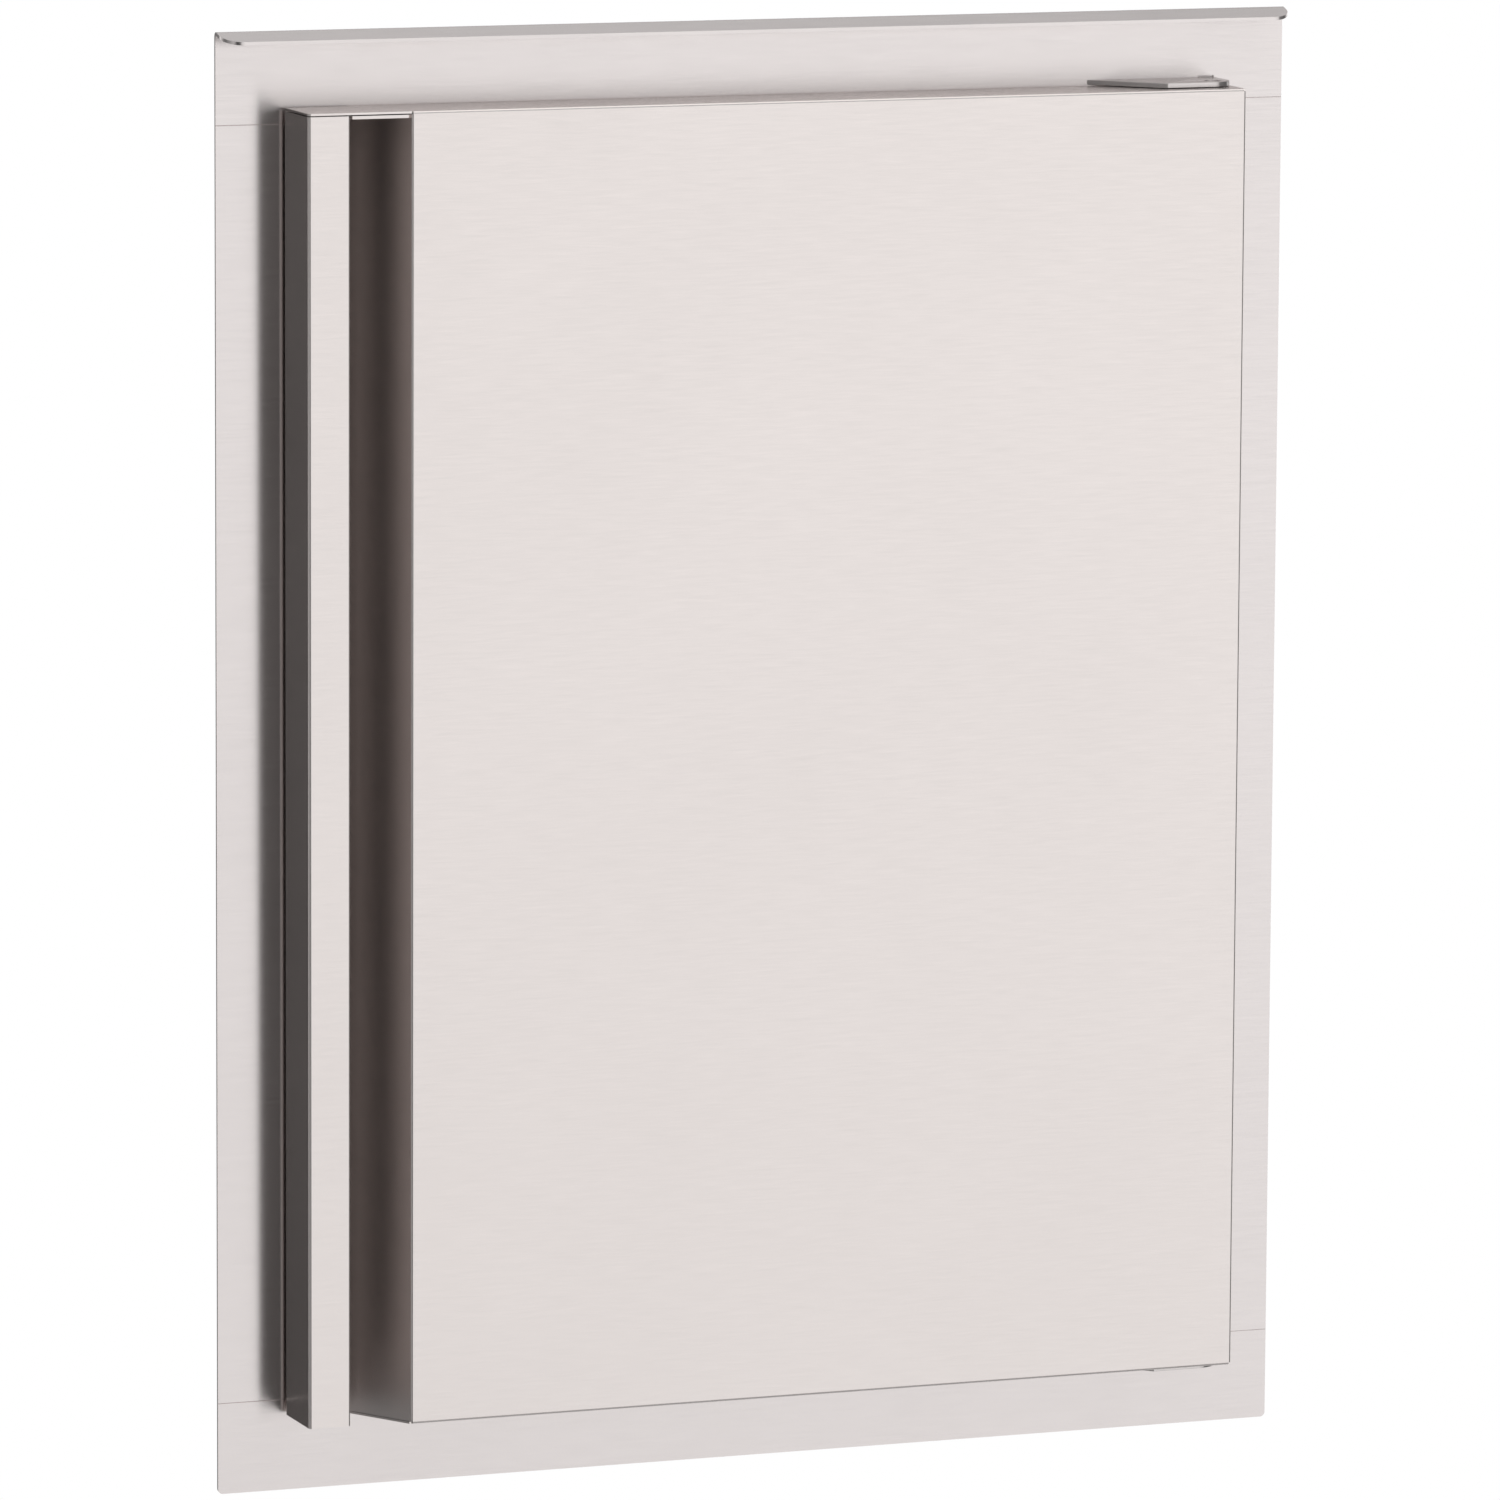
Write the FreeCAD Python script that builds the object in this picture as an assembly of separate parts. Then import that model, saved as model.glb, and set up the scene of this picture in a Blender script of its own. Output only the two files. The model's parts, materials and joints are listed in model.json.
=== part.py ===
import FreeCAD, Part
import math
import os
from FreeCAD import Vector

# Single access door for a masonry or framed outdoor kitchen island, millimetres.
# A flat stainless frame with a sleeve is set in a cut-out of the wall, and a
# double-walled door with a full-height pull folded into its left edge hangs on
# pivots at its right edge.
# X runs to the right, Y into the wall and Z up. The origin is the centre of the
# frame, on the wall face: the back of the frame's plate is the plane y = 0.

# Frame
frame_width = 440.0
frame_height = 565.4
frame_sheet = 1.2
frame_bend = 0.8            # inside radius of the frame's bends
rail_face = 35.6            # height of the top and bottom rails' faces
stile_face = 40.0           # width of the side stiles' faces
sleeve_depth = 38.0         # from the wall face to the sleeve's back edge
frame_corner = 2.0          # radius of the two lower corners
seam_groove = 0.2           # depth of the groove left along each butt weld
lip_reach = 11.5            # rain lip, forward of the frame's face
lip_slope = 16.8            # degrees below level
lip_corner = 8.0            # radius of its two front corners
screw_hole = 5.0            # fixing holes through the sleeve
screw_depth = 22.0          # from the wall face back to the fixing holes
side_screw_spacing = 360.0
end_screw_spacing = 150.0

# Door
left_overlap = 13.3         # how far the door covers the left stile
right_overlap = 11.5
end_overlap = 6.4           # how far it covers each rail
door_gap = 2.5              # between the frame's face and the door's back
door_depth = 29.0
skin_sheet = 0.8
skin_bend = 0.2             # inside radius of the door's bends
relief_width = 0.7          # notch where the face's end bend meets the flange over the pull
end_hem = 8.0               # width of the flanges behind the top and bottom
liner_sheet = 0.8
liner_lip = 7.0             # how far the liner's side flanges come forward

# Pull folded into the left edge of the skin
grip_width = 16.7           # front strip that the fingers hook behind
finger_gap = 24.8           # clear opening beside it
jamb_slope = 30.5           # degrees, slant of the wall from the face to the back
grip_hem = 7.0              # closed hem behind the strip's free edge
hem_slack = 0.2             # left inside the closed hem
end_seam = 0.45             # left open under the skin's flange at the top of the pull
cap_sheet = 1.2             # plate that closes the top of the pull
cap_gap = 0.8               # between the plate and the strip's free edge
cap_corner = 1.5            # corner cut off the plate beside the face

# Pivots at the right edge
swing_clearance = 0.3       # least gap between the door's rear corner and the frame
pin_radius = 3.175
pin_clearance = 0.05        # running fit of a pin in its bush, on the radius
plate_clearance = 0.08      # the spring pin in the top plate's hole, on the radius
end_play = 0.4              # between the door and each hinge plate
plate_sheet = 1.8
plate_nose = 6.7            # from the pivot axis to the plate's front edge
plate_margin = 7.75         # from the pivot axis to the plate's right edge
plate_front = 19.6          # length of the plate's straight front edge
plate_corner = 10.0         # radius of the plate's front right corner
plate_round = 0.8           # radius where its slanted edge meets the front edge
tab_width = 6.5
tab_edge = 8.0              # from the plate's left end to its left tab; the other is flush
tab_clearance = 0.1
weld_height = 0.6           # weld in the slot, past the right tab
weld_depth = 0.6            # from the frame's face back to that weld
tenon_radius = 2.5          # riveted foot of the lower pin
rivet_rim = 1.4             # how far its head reaches past the tenon
rivet_height = 0.8
lower_pin_length = 9.0
bush_wall = 1.3
bush_flange = 1.0           # how far a bush's flange stands out past its sleeve
bush_flange_sheet = 1.0
bush_side_gap = 0.25        # between a bush's flange and the bend of its bracket
bracket_sheet = 1.2
bracket_bend = 0.6
bracket_reach = 18.0        # length of a bracket's legs
bracket_slack = 0.45        # in front of and behind a bracket
lower_bracket_height = 24.0
upper_bracket_height = 38.0

# Spring pin at the top
pin_travel = 5.0
tip_setback = 0.2           # the pin's tip stops this far below the plate's top
cross_drop = 17.5           # from the door's top down to the cross pin
cross_radius = 1.5
cross_wall = 0.45
cross_ahead = 6.0           # how far the cross pin stands out in front of the pin
cross_setback = 0.5         # its other end stops short of the door's back
slot_clearance = 0.4        # beside the cross pin
slot_end_air = 0.1          # between the cross pin and each end of its slot
slot_margin = 1.6           # from the slot to the edge of the skin's flange
washer_sheet = 0.8
washer_rim = 1.9
spring_wire = 1.0
spring_turns = 5.0
spring_clearance = 0.6      # between the spring and the pin
spring_seat = 0.1
pin_tail = 4.0              # pin below the bracket's lower leg

# Magnetic catches, one behind the top rail and one behind the bottom rail
catch_inset = 55.0          # from the sleeve's latch side to the catch's centre
case_width = 30.0
case_depth = 20.0
case_wall = 2.8
ear_length = 10.0
ear_depth = 13.0
ear_sheet = 2.5
ear_setback = 4.0           # from the wall face to the ears
magnet_width = 24.0
magnet_height = 6.0
pole_length = 14.0
pole_sheet = 1.5
pole_proud = 1.0            # poles in front of the case
magnet_clearance = 0.1
catch_air = 0.1             # between the poles and the strike, door shut
catch_screw = 4.0
catch_slot = 8.0            # length of the ears' slots
shank_clearance = 0.25
head_radius = 3.8
head_height = 2.4
nut_width = 7.0             # across flats
nut_height = 3.2
nut_clearance = 0.03
thread_end = 0.8            # screw showing past its nut
strike_height = 12.0
strike_sheet = 1.5
strike_gap = 0.5            # between a strike and the skin's flange
strike_rivet = 1.6          # shank radius
strike_rivet_edge = 5.0     # from a rivet's centre to the end of the strike
strike_head = 3.0           # head radius
strike_head_height = 0.9

# Rubber bumpers on the door's back, beside the pull
bumper_radius = 4.0
bumper_taper = 0.5
bumper_air = 0.1            # to the frame's face, door shut
bumper_end = 18.0           # from the door's top and bottom to the bumper's centre

# Places worked out from the sizes above
half_width = frame_width / 2
half_height = frame_height / 2
open_x = half_width - stile_face
open_z = half_height - rail_face
face_y = -frame_sheet
door_back = face_y - door_gap
door_front = door_back - door_depth
door_left = -open_x - left_overlap
door_right = open_x + right_overlap
door_top = open_z + end_overlap
frame_outer = frame_bend + frame_sheet
skin_outer = skin_bend + skin_sheet
grip_edge = door_left + grip_width
face_left = grip_edge + finger_gap
face_bend_left = face_left + skin_sheet / 2
pull_end = door_top - skin_sheet - end_seam
liner_back = door_back - skin_sheet
bush_radius = pin_radius + pin_clearance + bush_wall
pivot_inset = (skin_sheet + bracket_sheet + bracket_bend + bush_side_gap
               + bush_radius + bush_flange)
pivot_reach = ((pivot_inset ** 2 + door_gap ** 2 - swing_clearance ** 2)
               / (2 * (door_gap - swing_clearance)))
pivot_x = door_right - pivot_inset
pivot_y = face_y - pivot_reach
plate_reach = pivot_reach + plate_nose
plate_low = door_top + end_play
plate_right = pivot_x + plate_margin
plate_left = plate_right - plate_corner - plate_front - plate_reach
slot_half = cross_radius + slot_clearance
side_hem = pivot_inset + slot_half + slot_margin
leg_top = door_top - skin_sheet
leg_low = leg_top - bracket_sheet
upper_leg_bottom = leg_top - upper_bracket_height
cross_z = door_top - cross_drop
catch_x = -open_x + catch_inset
strike_width = case_width + 2 * ear_length
strike_back = liner_back + strike_sheet
pole_front = strike_back + catch_air
case_front = pole_front + pole_proud
magnet_z = min(door_top - end_hem - strike_gap - strike_height / 2,
               open_z - case_wall - pole_sheet - magnet_height / 2)
case_low = magnet_z - magnet_height / 2 - pole_sheet - case_wall
ear_x = (case_width + ear_length) / 2
ear_y = ear_setback + ear_depth / 2
UP = Vector(0, 0, 1)

os.makedirs("parts", exist_ok=True)


def save(name, shape):
    if not shape.isValid() or shape.Volume <= 0:
        raise ValueError(name + " is not a valid solid")
    shape.exportStep("parts/" + name + ".step")
    print("%-22s %2d solid(s) %9.1f mm3" % (name, len(shape.Solids), shape.Volume))


def box(x0, x1, y0, y1, z0, z1):
    return Part.makeBox(x1 - x0, y1 - y0, z1 - z0, Vector(x0, y0, z0))


def mirrored(shape):
    # the same piece at the other end of the door
    return shape.mirror(Vector(0, 0, 0), UP)


# The planes that outlines are drawn in: from above, and from the side
def plan(point):
    return Vector(point.x, point.y, 0)


def side(point):
    return Vector(0, point.x, point.y)


def left_of(direction):
    return Vector(-direction.y, direction.x, 0)


def sheet_side(path, offset, middle):
    # One face of a bent sheet: straight runs joined by an arc at each bend.
    pieces = []
    last = path[0] + left_of((path[1] - path[0]).normalize()) * offset
    for before, corner, after in zip(path, path[1:], path[2:]):
        a = (corner - before).normalize()
        b = (after - corner).normalize()
        turn = math.atan2(a.x * b.y - a.y * b.x, a.dot(b))
        way = math.copysign(1, turn)
        centre = corner - a * (middle * math.tan(abs(turn) / 2)) + left_of(a) * way * middle
        radius = (middle - way * offset) * way
        start = centre - left_of(a) * radius
        halfway = centre - (left_of(a) + left_of(b)).normalize() * radius
        end = centre - left_of(b) * radius
        pieces.append((last, start))
        pieces.append((start, halfway, end))
        last = end
    pieces.append((last, path[-1] + left_of((path[-1] - path[-2]).normalize()) * offset))
    return pieces


def outline(pieces, plane):
    edges = []
    for piece in pieces:
        points = [plane(p) for p in piece]
        if len(points) == 3:
            edges.append(Part.Arc(*points).toShape())
        elif points[0].distanceToPoint(points[1]) > 1e-6:
            edges.append(Part.makeLine(*points))
    return Part.Face(Part.Wire(Part.__sortEdges__(edges)))


def bent_sheet(path, sheet, bend, plane):
    # Section of a folded sheet whose middle line is the path, corner to corner.
    path = [Vector(u, v, 0) for u, v in path]
    first = sheet_side(path, sheet / 2, bend + sheet / 2)
    second = sheet_side(path, -sheet / 2, bend + sheet / 2)
    ends = [(first[0][0], second[0][0]), (first[-1][-1], second[-1][-1])]
    return outline(first + second + ends, plane)


def polygon(points, plane=plan):
    points = [Vector(u, v, 0) for u, v in points]
    return outline(list(zip(points, points[1:] + points[:1])), plane)


def along_x(face, x0, x1):
    face.translate(Vector(x0, 0, 0))
    return face.extrude(Vector(x1 - x0, 0, 0))


def along_z(face, z0, z1):
    face.translate(Vector(0, 0, z0))
    return face.extrude(Vector(0, 0, z1 - z0))


def turned(profile, x, y):
    # Solid of revolution about the upright line through x, y; profile is (radius, z).
    points = [Vector(x + r, y, z) for r, z in profile]
    face = Part.Face(Part.makePolygon(points + points[:1]))
    return face.revolve(Vector(x, y, 0), UP, 360)


def ring(inner, outer, z0, z1, x, y):
    return turned([(inner, z0), (outer, z0), (outer, z1), (inner, z1)], x, y)


def rod(radius, x, y, z0, z1):
    return Part.makeCylinder(radius, z1 - z0, Vector(x, y, z0))


def rounded_upright(shape, radius, keep=lambda edge: True):
    edges = [e for e in shape.Edges if abs(e.tangentAt(e.FirstParameter).z) > 0.999 and keep(e)]
    return shape.makeFillet(radius, edges)


# Frame

def seam_cutters():
    # V groove on the face along the four butt welds between rails and stiles
    cutters = []
    for z in (open_z, -open_z):
        section = polygon([(face_y - seam_groove, z - 2 * seam_groove),
                           (face_y + seam_groove, z),
                           (face_y - seam_groove, z + 2 * seam_groove)], side)
        for x0, x1 in ((-half_width, -open_x), (open_x, half_width)):
            cutters.append(along_x(section.copy(), x0, x1))
    return cutters


def rail_return():
    # bend at the edge of the opening and the sleeve's upper wall
    middle_y = -frame_sheet / 2
    middle_z = open_z + frame_sheet / 2
    bend = bent_sheet([(middle_y, open_z + frame_outer), (middle_y, middle_z),
                       (sleeve_depth, middle_z)], frame_sheet, frame_bend, side)
    ends = box(-open_x - frame_sheet, open_x + frame_sheet, face_y + frame_outer, sleeve_depth,
               open_z, open_z + frame_sheet)
    wall = along_x(bend, -open_x, open_x).fuse(ends)
    return wall.cut(end_holes())


def end_holes():
    z0, z1 = open_z - frame_sheet, open_z + 2 * frame_sheet
    holes = [rod(screw_hole / 2, x, screw_depth, z0, z1)
             for x in (-end_screw_spacing / 2, end_screw_spacing / 2)]
    for x in (catch_x - ear_x, catch_x + ear_x):
        holes.append(rod(catch_screw / 2 + shank_clearance, x, ear_y, z0, z1))
    return holes


def tab_places():
    # left end of each tab and the height of the weld past it
    return [(plate_left + tab_edge, 0.0), (plate_right - tab_width, weld_height)]


def tab_slots():
    return [box(x - tab_clearance, x + tab_width + tab_clearance, 2 * face_y, -face_y,
                plate_low - tab_clearance, plate_low + plate_sheet + weld + tab_clearance)
            for x, weld in tab_places()]


def rail_face_cut():
    # the rail's face stops here where it bends back into the sleeve
    return box(-open_x, open_x, 2 * face_y, -face_y, open_z - frame_sheet, open_z + frame_outer)


def top_rail():
    middle = frame_bend + frame_sheet / 2
    fold = math.radians(90 + lip_slope) / 2
    corner_z = half_height - frame_outer + middle * math.tan(fold)
    lip_front = face_y - lip_reach
    blank = lip_front - frame_sheet
    drop = (-frame_sheet / 2 - blank) * math.tan(math.radians(lip_slope))
    section = bent_sheet([(blank, corner_z - drop), (-frame_sheet / 2, corner_z),
                          (-frame_sheet / 2, open_z)], frame_sheet, frame_bend, side)
    face = along_x(section, -half_width, half_width)
    trim = rounded_upright(box(-half_width, half_width, lip_front, sleeve_depth,
                               open_z, half_height), lip_corner,
                           lambda edge: edge.CenterOfMass.y < lip_front + 1)
    face = face.common(trim).cut([rail_face_cut()] + tab_slots())
    return face.fuse(rail_return()).cut(seam_cutters()).removeSplitter()


def bottom_rail():
    face = box(-half_width, half_width, face_y, 0, open_z, half_height)
    corners = [e for e in face.Edges if abs(e.tangentAt(e.FirstParameter).y) > 0.999
               and e.CenterOfMass.z > half_height - 1]
    face = face.makeFillet(frame_corner, corners).cut([rail_face_cut()] + tab_slots())
    return mirrored(face.fuse(rail_return())).cut(seam_cutters()).removeSplitter()


def left_stile():
    middle_x = -open_x - frame_sheet / 2
    middle_y = -frame_sheet / 2
    section = bent_sheet([(-half_width, middle_y), (middle_x, middle_y), (middle_x, sleeve_depth)],
                         frame_sheet, frame_bend, plan)
    holes = [Part.makeCylinder(screw_hole / 2, 3 * frame_sheet,
                               Vector(-open_x - 2 * frame_sheet, screw_depth, z), Vector(1, 0, 0))
             for z in (-side_screw_spacing / 2, side_screw_spacing / 2)]
    return along_z(section, -open_z, open_z).cut(holes + seam_cutters())


def frame():
    save("frame_top_rail", top_rail())
    save("frame_bottom_rail", bottom_rail())
    left = left_stile()
    save("frame_left_stile", left)
    save("frame_right_stile", left.mirror(Vector(0, 0, 0), Vector(1, 0, 0)))


# Hinge plates and the lower pin

def hinge_plate(hole_radius):
    front = face_y - plate_reach
    top = plate_low + plate_sheet
    shape = polygon([(plate_left, face_y), (plate_left + plate_reach, front),
                     (plate_right, front), (plate_right, face_y)])
    plate = along_z(shape, plate_low, top)
    plate = rounded_upright(plate, plate_round, lambda edge: edge.CenterOfMass.y < front + 1
                            and edge.CenterOfMass.x < plate_right - 1)
    plate = rounded_upright(plate, plate_corner, lambda edge: edge.CenterOfMass.y < front + 1
                            and edge.CenterOfMass.x > plate_right - 1)
    tabs = []
    for x, weld in tab_places():
        tabs.append(box(x, x + tab_width, face_y, 0, plate_low, top))
        if weld:
            tabs.append(box(x, x + tab_width, face_y + weld_depth, 0, top, top + weld))
    hole = rod(hole_radius, pivot_x, pivot_y, plate_low - 1, plate_low + plate_sheet + 1)
    return plate.fuse(tabs).cut(hole).removeSplitter()


def lower_pin():
    # riveted under the plate, with a shoulder that stands in the door's bush
    seat = -plate_low
    foot = seat - plate_sheet
    head = tenon_radius + rivet_rim
    point = 0.8
    return turned([(0, foot - rivet_height), (head - rivet_height, foot - rivet_height),
                   (head, foot), (tenon_radius, foot), (tenon_radius, seat),
                   (pin_radius, seat), (pin_radius, seat + lower_pin_length - point),
                   (pin_radius - point, seat + lower_pin_length), (0, seat + lower_pin_length)],
                  pivot_x, pivot_y)


def hinge_plates():
    save("top_hinge_plate", hinge_plate(pin_radius + plate_clearance))
    save("bottom_hinge_plate", mirrored(hinge_plate(tenon_radius + pin_clearance)))
    save("lower_pivot_pin", lower_pin())
    save("pivot_washer", ring(pin_radius + pin_clearance, bush_radius + bush_flange,
                              -plate_low, -door_top, pivot_x, pivot_y))


# Door

def jamb_x(y):
    # the slanted wall's finished face, on the side of the finger gap
    return face_left - (y - door_front) * math.tan(math.radians(jamb_slope))


def pull_path():
    # middle line of the back wall, left side, grip strip and its closed hem
    half = skin_sheet / 2
    back = door_back - half
    front = door_front + half
    fold = front + skin_sheet + hem_slack
    return [(door_left + half, back), (door_left + half, front),
            (grip_edge - half, front), (grip_edge - half, fold),
            (grip_edge - skin_outer - grip_hem, fold)]


def jamb_corner(y):
    # where the slanted wall's middle line crosses a depth
    return jamb_x(y) + skin_sheet / 2 / math.cos(math.radians(jamb_slope))


def hem_bend():
    return hem_slack / 2


def skin_walls():
    # One sheet: hinge-side flange, right side, face, slanted wall, back of the
    # pull, left side and grip strip. The closed hem has its own tight radius.
    half = skin_sheet / 2
    back = door_back - half
    front = door_front + half
    end = door_top - skin_outer
    pull = pull_path()
    behind = (jamb_corner(back) - skin_outer, back)
    strip_end = (grip_edge - skin_outer, front)
    walls = bent_sheet([(door_right - side_hem, back), (door_right - half, back),
                        (door_right - half, front), (jamb_corner(front), front),
                        (jamb_corner(back), back), behind], skin_sheet, skin_bend, plan)
    grip = bent_sheet([behind] + pull[:2] + [strip_end], skin_sheet, skin_bend, plan)
    hem = bent_sheet([strip_end] + pull[2:], skin_sheet, hem_bend(), plan)
    return along_z(walls, -end, end).fuse([along_z(grip, -end, pull_end),
                                           along_z(hem, -end, pull_end)])


def end_flange(left_edge, hem_left):
    # Folded end of the face: front bend, flat flange and the hem behind it.
    # left_edge gives the flange's left side at a depth.
    half = skin_sheet / 2
    front, back, level = door_front + half, door_back - half, door_top - half
    wrap = bent_sheet([(front, door_top - skin_outer), (front, level), (back, level),
                       (back, door_top - end_hem)], skin_sheet, skin_bend, side)
    y0, y1 = door_front + skin_outer, door_back - skin_outer
    hem_right = door_right - side_hem - skin_sheet
    face_part = along_x(wrap.copy(), face_bend_left, door_right - skin_outer)
    face_part = face_part.common(box(-half_width, half_width, door_front, y0, 0, door_top))
    hem_part = along_x(wrap, hem_left, hem_right)
    hem_part = hem_part.common(box(-half_width, half_width, y1, door_back, 0, door_top))
    flat = polygon([(left_edge(y0), y0), (door_right, y0), (door_right, door_back),
                    (hem_right, door_back), (hem_right, y1), (hem_left, y1),
                    (hem_left, door_back), (left_edge(door_back), door_back)])
    flat = along_z(flat, door_top - skin_sheet, door_top)
    return [face_part, hem_part, flat]


def door_skin():
    hem_left = jamb_corner(door_back) + 2 * skin_outer
    top = end_flange(lambda y: door_left, hem_left)
    brow = box(door_left, face_bend_left - relief_width, door_front, door_front + 2 * skin_outer,
               door_top - skin_sheet, door_top)
    brow = rounded_upright(brow, skin_outer, lambda edge: edge.CenterOfMass.y < door_front + 0.1
                           and edge.CenterOfMass.x < door_left + 0.1)
    bottom = [mirrored(piece) for piece in end_flange(jamb_x, hem_left)]
    holes = [rod(bush_radius, pivot_x, pivot_y, z - 2, z + 2) for z in (-door_top, door_top)]
    skin = skin_walls().fuse(top + [brow] + bottom).cut(holes + [cross_slot()])
    return skin.removeSplitter()


def cross_slot():
    # upright slot behind the cross pin's end, as long as its travel
    y0, y1 = door_back - 2 * skin_sheet - liner_sheet, door_back + 1
    end = cross_radius + slot_end_air
    slot = box(pivot_x - slot_half, pivot_x + slot_half, y0, y1,
               cross_z - pin_travel - end, cross_z + end)
    ends = [e for e in slot.Edges if abs(e.tangentAt(e.FirstParameter).y) > 0.999]
    return slot.makeFillet(slot_half * 0.98, ends)


def door_liner():
    # back panel: right flange, flat and a left flange laid along the slanted wall
    half = liner_sheet / 2
    back = liner_back - half
    lean = math.radians(jamb_slope)
    inner = (skin_sheet + half) / math.cos(lean)
    front = liner_back - liner_lip
    right = door_right - skin_sheet - half
    section = bent_sheet([(right, front), (right, back), (jamb_x(back) + inner, back),
                          (jamb_x(front) + inner, front)], liner_sheet, skin_bend, plan)
    end = door_top - skin_sheet - skin_bend
    return along_z(section, -end, end).cut([cross_slot()] + rivet_holes())


def pull_cap():
    # plate that closes the top of the pull, welded inside it level with the strip's end
    front = door_front
    behind = front + 2 * skin_sheet + 2 * hem_slack
    back = door_back - skin_sheet
    inside = door_left + skin_sheet
    nip = skin_outer
    beside = grip_edge + cap_gap
    shape = polygon([(beside, front), (jamb_x(front) - cap_corner, front),
                     (jamb_x(front + cap_corner), front + cap_corner),
                     (jamb_x(back - nip), back - nip), (jamb_x(back - nip) - nip, back),
                     (inside + nip, back), (inside, back - nip), (inside, behind),
                     (beside, behind)])
    return along_z(shape, pull_end - cap_sheet, pull_end)


def pivot_bush():
    sleeve_top = door_top
    flange_top = leg_low
    flange_low = flange_top - bush_flange_sheet
    bore = pin_radius + pin_clearance
    return turned([(bore, flange_low), (bush_radius + bush_flange, flange_low),
                   (bush_radius + bush_flange, flange_top), (bush_radius, flange_top),
                   (bush_radius, sleeve_top), (bore, sleeve_top)], pivot_x, pivot_y)


def bracket_section(height, legs):
    # folded strip against the door's right side, with its legs pointing left
    half = bracket_sheet / 2
    right = door_right - skin_sheet - half
    left = door_right - skin_sheet - bracket_reach
    top = leg_top - half
    low = leg_top - height + half
    path = [(left, top), (right, top), (right, low)] + [(left, low)] * (legs - 1)
    return bent_sheet(path, bracket_sheet, bracket_bend, lambda p: Vector(p.x, 0, p.y))


def bracket(height, legs, lower_hole):
    front = door_front + skin_sheet + bracket_slack
    back = liner_back - liner_lip - bracket_slack
    section = bracket_section(height, legs)
    section.translate(Vector(0, front, 0))
    body = section.extrude(Vector(0, back - front, 0))
    holes = [rod(bush_radius, pivot_x, pivot_y, leg_low - 1, leg_top + 1)]
    if lower_hole:
        holes.append(rod(lower_hole, pivot_x, pivot_y, leg_top - height - 1,
                         leg_top - height + bracket_sheet + 1))
    return body.cut(holes)


def bumpers():
    # half way across the part of the door that covers the stile's flat face
    back = face_y - bumper_air
    x = (door_left - open_x - frame_outer) / 2
    discs = []
    for z in (door_top - bumper_end, bumper_end - door_top):
        discs.append(Part.makeCone(bumper_radius, bumper_radius - bumper_taper, back - door_back,
                                   Vector(x, door_back, z), Vector(0, 1, 0)))
    return Part.makeCompound(discs)


def door():
    save("door_skin", door_skin())
    save("door_liner", door_liner())
    save("pull_top_cap", pull_cap())
    save("top_pin_bracket", bracket(upper_bracket_height, 2, pin_radius + 2 * pin_clearance))
    save("bottom_pivot_bracket", mirrored(bracket(lower_bracket_height, 1, 0)))
    save("top_pivot_bush", pivot_bush())
    save("bottom_pivot_bush", mirrored(pivot_bush()))
    save("door_bumpers", bumpers())


# Spring pin

def pin_length_ends():
    return upper_leg_bottom - pin_tail, plate_low + plate_sheet - tip_setback


def spring_pin():
    low, high = pin_length_ends()
    point = 0.6
    pin = turned([(0, low), (pin_radius - point, low), (pin_radius, low + point),
                  (pin_radius, high - point), (pin_radius - point, high), (0, high)],
                 pivot_x, pivot_y)
    return pin.cut(Part.makeCylinder(cross_radius, 4 * pin_radius,
                                     Vector(pivot_x, pivot_y - 2 * pin_radius, cross_z),
                                     Vector(0, 1, 0)))


def cross_pin():
    # rolled spring pin: a slit tube, with its slit downwards
    y0 = pivot_y - pin_radius - cross_ahead
    y1 = door_back - cross_setback
    origin = Vector(pivot_x, y0, cross_z)
    tube = Part.makeCylinder(cross_radius, y1 - y0, origin, Vector(0, 1, 0))
    bore = Part.makeCylinder(cross_radius - cross_wall, y1 - y0, origin, Vector(0, 1, 0))
    slit = box(pivot_x - cross_wall / 2, pivot_x + cross_wall / 2, y0, y1,
               cross_z - 2 * cross_radius, cross_z)
    return tube.cut([bore, slit])


def spring_places():
    washer_top = cross_z - cross_radius
    low = upper_leg_bottom + bracket_sheet + spring_seat
    high = washer_top - washer_sheet - spring_seat
    return washer_top, low, high


def pin_spring():
    washer_top, low, high = spring_places()
    radius = pin_radius + spring_clearance + spring_wire / 2
    rise = high - low - spring_wire
    helix = Part.makeHelix(rise / spring_turns, rise, radius)
    helix.translate(Vector(pivot_x, pivot_y, low + spring_wire / 2))
    start = Vector(pivot_x + radius, pivot_y, low + spring_wire / 2)
    slope = Vector(0, 2 * math.pi * radius, rise / spring_turns)
    section = Part.Wire(Part.makeCircle(spring_wire / 2, start, slope))
    return Part.Wire(helix).makePipeShell([section], True, True)


def spring_washer():
    washer_top, low, high = spring_places()
    return ring(pin_radius + pin_clearance, pin_radius + washer_rim, washer_top - washer_sheet,
                washer_top, pivot_x, pivot_y)


def spring_pin_parts():
    save("top_spring_pin", spring_pin())
    save("pull_down_cross_pin", cross_pin())
    save("spring_washer", spring_washer())
    save("pin_spring", pin_spring())


# Magnetic catches

def magnet_stack():
    low = magnet_z - magnet_height / 2
    return low, low + magnet_height


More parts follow.
